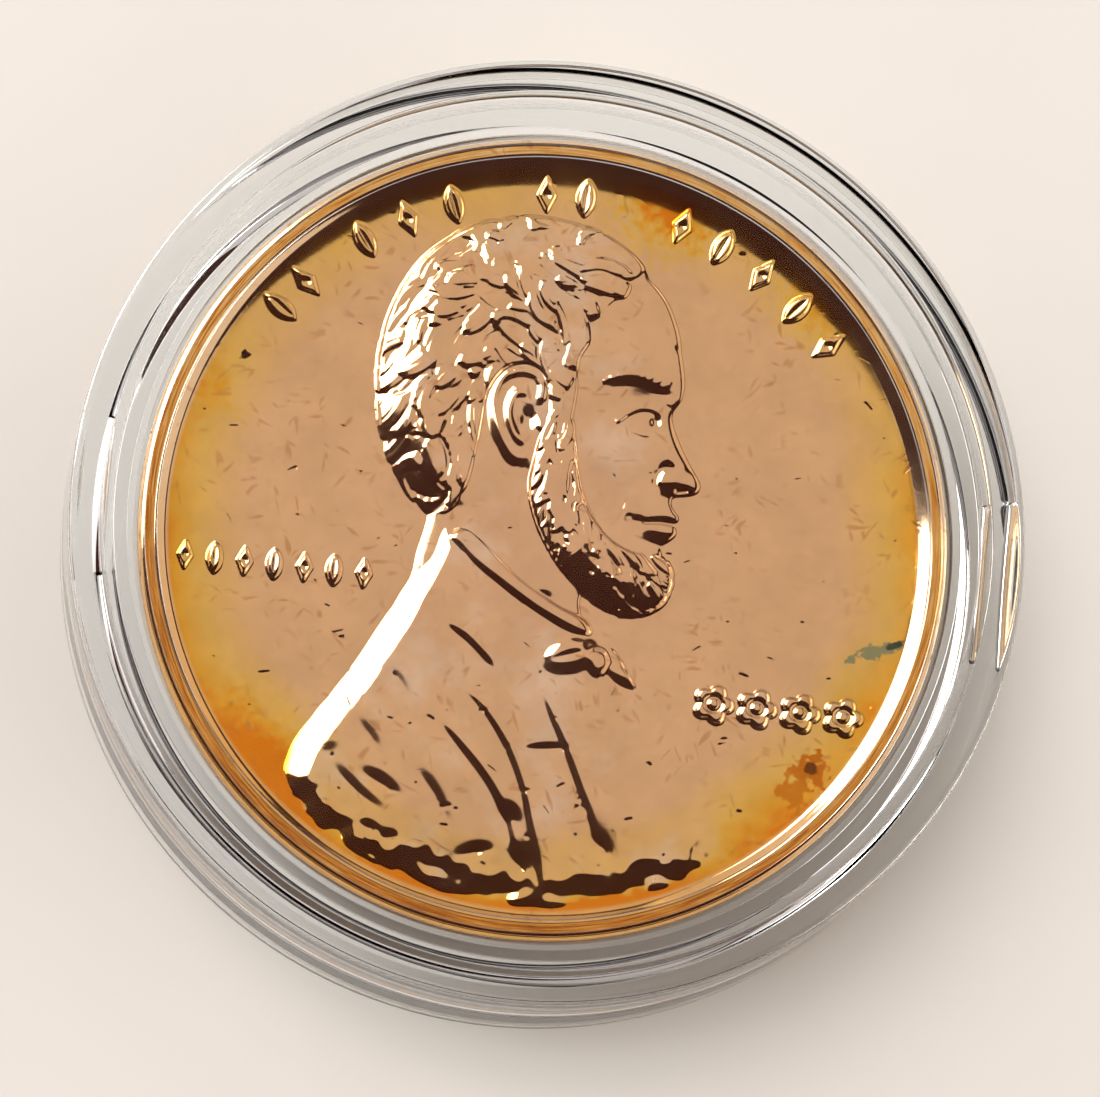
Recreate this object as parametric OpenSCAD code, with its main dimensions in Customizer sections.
// Direct-fit coin capsule: two clear shells that push together around one struck coin.
// The capsule lies flat on its foot ring, +Z up, with its origin at the centre of that ring.
// The coin lies obverse up, and the top of its design points along +Y. All sizes are in millimetres.

/* [Coin] */
// Diameter of the coin
coin_d = 19.05; // [15:0.05:30]
// Thickness of the coin over its rims
coin_t = 1.52; // [1.2:0.02:2.6]
// Width of the raised rim's flat top
coin_rim_w = 0.2; // [0.1:0.02:1]
// Height of the rim above the field
coin_rim_h = 0.2; // [0.1:0.01:0.3]
// Width of the slope from the field up to the rim
coin_slope_w = 0.34; // [0.1:0.02:0.5]
// Bevel on the coin's outer edges
coin_bevel = 0.16; // [0.05:0.01:0.2]
// Height of the struck design above the field
relief_h = 0.14; // [0.05:0.01:0.2]

/* [Fit] */
// Radial room between the coin and its pocket
coin_gap = 0.1; // [0.05:0.01:0.3]
// Room above the coin's rim when the capsule is shut
lid_gap = 0.05; // [0.02:0.01:0.2]
// Radial running gap between the spigot and the skirt
fit_gap = 0.03; // [0.02:0.01:0.1]
// Gap between the spigot's top and the lid
top_gap = 0.05; // [0.02:0.01:0.2]

/* [Shells] */
// Thickness of each clear window
window_t = 1.1; // [0.8:0.05:2]
// Wall of the base's spigot
spigot_wall = 0.75; // [0.6:0.05:1.5]
// Wall of the lid's skirt
skirt_wall = 0.75; // [0.6:0.05:1.5]
// How far each outer rim stands proud of its window
rim_proud = 0.25; // [0.1:0.05:0.6]
// Height of the seat that keeps the coin's face off the window
seat_h = 0.15; // [0.1:0.01:0.4]
// Width of that seat
seat_w = 0.55; // [0.3:0.05:0.7]
// Width of the lid's ring that keeps the coin down on its seat
hold_w = 0.3; // [0.2:0.05:0.5]
// Radius of the shells' outer edges
edge_r = 0.2; // [0.1:0.02:0.4]
// Bevel on each side of the parting line
parting_bevel = 0.12; // [0.05:0.01:0.3]
// Lead-in bevel on the spigot and the skirt
lead_in = 0.15; // [0.05:0.01:0.3]

/* [Pry notches] */
// Number of fingernail notches round the parting line
notch_count = 2; // [1:1:4]
// Radius of the cutter that scoops a notch
notch_r = 0.7; // [0.5:0.05:0.9]
// Depth of a notch at the parting line
notch_depth = 0.35; // [0.1:0.05:0.4]
// Length of a notch round the edge
notch_l = 4; // [2:0.5:8]

/* [Hidden] */

$fn = 96;
// Steps in each rounded corner of a turned profile
corner_steps = 4;
// How far a raised detail is sunk into the body that carries it
sink = 0.05;

// Radii, from the coin outwards
coin_r = coin_d / 2;
pocket_r = coin_r + coin_gap;
spigot_r = pocket_r + spigot_wall;
skirt_r = spigot_r + fit_gap;
shell_r = skirt_r + skirt_wall;
field_r = coin_r - coin_bevel - coin_rim_w - coin_slope_w;
seat_r = pocket_r - seat_w;
hold_r = coin_r - coin_bevel;
face_r = spigot_r;

// Heights, from the foot ring upwards
floor_z = rim_proud + window_t;
coin_z = floor_z + seat_h;
coin_top_z = coin_z + coin_t;
hold_z = coin_top_z + lid_gap;
ceiling_z = hold_z + seat_h;
spigot_z = ceiling_z - top_gap;
top_z = ceiling_z + window_t + rim_proud;
parting_z = top_z / 2;

// Layout of the struck design, in head units: the skull is a ball of radius head_r,
// and the brow, the nose and the chin lie on lines a third of the face apart.
head_r = coin_d * 0.19;
brow_y = coin_d * 0.18;
third = head_r * 2 / 3;
nose_y = brow_y - third;
chin_y = nose_y - third;
mark_r = coin_d * 0.02;
mark_ring_r = field_r - mark_r * 2;

// Points of a round corner of radius r about centre c, from angle a0 to a1
function corner(c, r, a0, a1) =
    [for (i = [0:corner_steps]) let (a = a0 + (a1 - a0) * i / corner_steps)
        [c[0] + r * cos(a), c[1] + r * sin(a)]];

// Half profile of the lower shell: window, seat, spigot and foot ring
function base_profile() = concat(
    [[0, rim_proud], [face_r - rim_proud, rim_proud], [face_r, 0]],
    corner([shell_r - edge_r, edge_r], edge_r, -90, 0),
    [[shell_r, parting_z - parting_bevel], [shell_r - parting_bevel, parting_z],
     [spigot_r, parting_z], [spigot_r, spigot_z - lead_in], [spigot_r - lead_in, spigot_z],
     [pocket_r + lead_in, spigot_z], [pocket_r, spigot_z - lead_in], [pocket_r, coin_z],
     [seat_r, coin_z], [seat_r, floor_z], [0, floor_z]]);

// Half profile of the upper shell: window, hold-down ring and skirt
function lid_profile() = concat(
    [[0, ceiling_z], [hold_r - hold_w, ceiling_z], [hold_r - hold_w, hold_z], [hold_r, hold_z],
     [hold_r, ceiling_z], [skirt_r, ceiling_z], [skirt_r, parting_z + lead_in],
     [skirt_r + lead_in, parting_z], [shell_r - parting_bevel, parting_z],
     [shell_r, parting_z + parting_bevel]],
    corner([shell_r - edge_r, top_z - edge_r], edge_r, 0, 90),
    [[face_r, top_z], [face_r - rim_proud, top_z - rim_proud], [0, top_z - rim_proud]]);

// Half profile of one face of the coin, from the mid plane up
function coin_profile() = [
    [0, 0], [coin_r, 0], [coin_r, coin_t / 2 - coin_bevel], [coin_r - coin_bevel, coin_t / 2],
    [field_r + coin_slope_w, coin_t / 2], [field_r, coin_t / 2 - coin_rim_h],
    [0, coin_t / 2 - coin_rim_h]];

// Scoops cut across the parting line, for a fingernail
module pry_notches() {
    for (i = [0:notch_count - 1])
        rotate([0, 0, i * 360 / notch_count])
            translate([shell_r - notch_depth + notch_r, 0, parting_z])
                rotate([90, 0, 0])
                    cylinder(r = notch_r, h = notch_l, center = true);
}

module base_shell() {
    color([0.86, 0.9, 0.92, 0.35])
        difference() {
            rotate_extrude() polygon(base_profile());
            pry_notches();
        }
}

module lid_shell() {
    color([0.9, 0.93, 0.95, 0.35])
        difference() {
            rotate_extrude() polygon(lid_profile());
            pry_notches();
        }
}

// Outline of a plain bearded head in profile, facing +X, over a coat
module bust_outline() {
    translate([0, brow_y]) circle(r = head_r);
    polygon([
        [0, brow_y + third], [head_r * 0.92, brow_y + third / 2], [head_r * 0.97, brow_y],
        [head_r * 1.2, nose_y + third / 5], [head_r * 0.98, nose_y], [head_r, nose_y - third / 2],
        [head_r * 0.92, chin_y], [head_r * 0.4, chin_y - third / 4], [0, nose_y]]);
    polygon([
        [-head_r * 0.7, nose_y + third / 2], [head_r * 0.5, nose_y], [head_r * 0.6, chin_y - third],
        [head_r * 1.1, -coin_r], [-coin_r, -coin_r], [-head_r * 1.6, chin_y - third]]);
}

// One small raised dot for each mark of an arc: from angle a0, count marks, step degrees apart
module mark_arc(ring_r, a0, count, step) {
    for (i = [0:count - 1])
        rotate([0, 0, a0 - i * step])
            translate([ring_r, 0]) circle(r = mark_r, $fn = 24);
}

// Ornament of the obverse: arcs of dots over the head, a row behind it and a row before it
module obverse_marks() {
    mark_arc(mark_ring_r, 140, 2, 6);
    mark_arc(mark_ring_r, 122, 3, 6);
    mark_arc(mark_ring_r, 97, 2, 6);
    mark_arc(mark_ring_r, 76, 5, 6);
    for (i = [0:6])
        translate([-field_r + mark_r * (2 + 2.6 * i), -mark_r * 2]) circle(r = mark_r, $fn = 24);
    for (i = [0:3])
        translate([field_r / 2 + mark_r * 2.6 * i, -field_r / 2]) circle(r = mark_r, $fn = 24);
}

// Ornament of the reverse: a ring of dots round a plain boss
module reverse_marks() {
    mark_arc(mark_ring_r, 0, 24, 15);
    circle(r = field_r / 3);
}

module coin() {
    field_h = coin_t / 2 - coin_rim_h;
    color([0.8, 0.53, 0.33])
        translate([0, 0, coin_z + coin_t / 2])
            union() {
                rotate_extrude() polygon(coin_profile());
                mirror([0, 0, 1]) rotate_extrude() polygon(coin_profile());
                translate([0, 0, field_h - sink])
                    linear_extrude(height = relief_h + sink) {
                        intersection() {
                            circle(r = field_r - sink);
                            bust_outline();
                        }
                        obverse_marks();
                    }
                mirror([0, 0, 1])
                    translate([0, 0, field_h - sink])
                        linear_extrude(height = relief_h + sink) reverse_marks();
            }
}

base_shell();
lid_shell();
coin();
